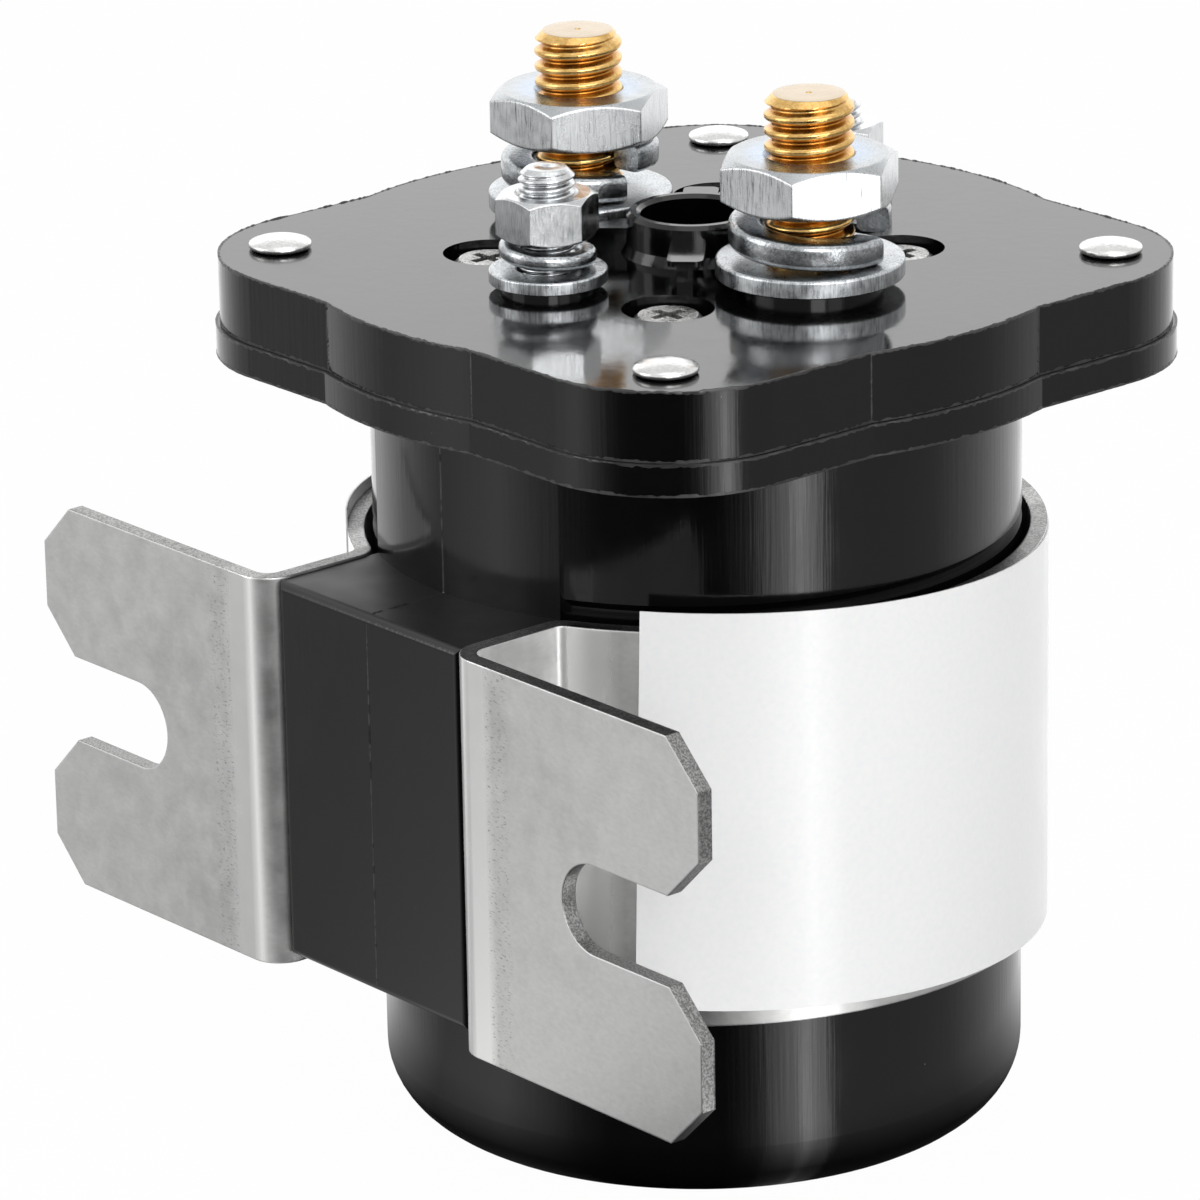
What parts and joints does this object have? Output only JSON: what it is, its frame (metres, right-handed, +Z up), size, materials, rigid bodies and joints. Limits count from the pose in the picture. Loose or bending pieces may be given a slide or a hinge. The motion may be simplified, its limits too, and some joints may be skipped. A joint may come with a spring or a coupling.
{
  "type": "battery isolator relay",
  "caption": "Round moulded relay with a square riveted cover, two main terminal studs, two coil studs and a bent steel mounting strap with open slots.",
  "frame": {"origin": "on the can's axis, at its flat bottom", "axes": "+Z up along the can to the studs; +Y towards the mounting tabs' front face; the main studs stand on X and the coil studs on Y"},
  "size_m": [0.0908, 0.0759, 0.0981],
  "materials": {
    "black_moulding": "glossy black moulded thermoset",
    "rivet_steel": "satin plated rivet",
    "screw_steel": "bright zinc-plated screw",
    "strap_steel": "satin rolled sheet steel",
    "label_film": "glossy white film, blank",
    "zinc_plate": "bright zinc plate with fine scratches",
    "stud_brass": "bright rolled brass thread",
    "soft_iron": "plain soft iron",
    "bobbin_nylon": "natural nylon",
    "enamelled_copper": "enamelled copper wire",
    "rod_steel": "ground steel rod",
    "spring_steel": "oil-tempered spring steel",
    "copper_bar": "rolled copper bar",
    "silver_alloy": "silver contact alloy"
  },
  "bodies": {
    "root": {"coil_bobbin": "bobbin_nylon", "coil_flat_washer_front": "zinc_plate", "coil_flat_washer_rear": "zinc_plate", "coil_leads": "enamelled_copper", "coil_nut_front": "zinc_plate", "coil_nut_rear": "zinc_plate", "coil_spring_washer_front": "zinc_plate", "coil_spring_washer_rear": "zinc_plate", "coil_stud_front": "zinc_plate", "coil_stud_rear": "zinc_plate", "coil_winding": "enamelled_copper", "corner_rivets": "rivet_steel", "cover": "black_moulding", "fixed_contact_tips": "silver_alloy", "frame_screws": "screw_steel", "housing": "black_moulding", "label": "label_film", "magnet_yoke": "soft_iron", "main_flat_washer_left": "zinc_plate", "main_flat_washer_right": "zinc_plate", "main_nut_left": "zinc_plate", "main_nut_right": "zinc_plate", "main_spring_washer_left": "zinc_plate", "main_spring_washer_right": "zinc_plate", "main_stud_left": "stud_brass", "main_stud_right": "stud_brass", "mounting_strap": "strap_steel", "pole_piece": "soft_iron", "pole_plate": "soft_iron", "return_spring": "spring_steel"},
    "armature": {"plunger": "soft_iron", "plunger_rod": "rod_steel", "retaining_clip": "spring_steel", "contact_spring": "spring_steel"},
    "bridge": {"contact_bridge": "copper_bar", "bridge_insulator": "bobbin_nylon", "moving_contact_tips": "silver_alloy"}
  },
  "joints": [
    {"name": "armature_lift", "type": "slide", "parent": "root", "child": "armature", "axis": [0, 0, 1], "range_m": [0, 0.0026], "stiffness_N_per_m": 400, "springref_m": -0.004, "deforming": ["return_spring"]},
    {"name": "bridge_overtravel", "type": "slide", "parent": "armature", "child": "bridge", "axis": [0, 0, 1], "range_m": [-0.00065, 0], "deforming": ["contact_spring"]}
  ],
  "couplings": [
    {"joint": "bridge_overtravel", "follows": "armature_lift", "ratio": -0.25}
  ]
}
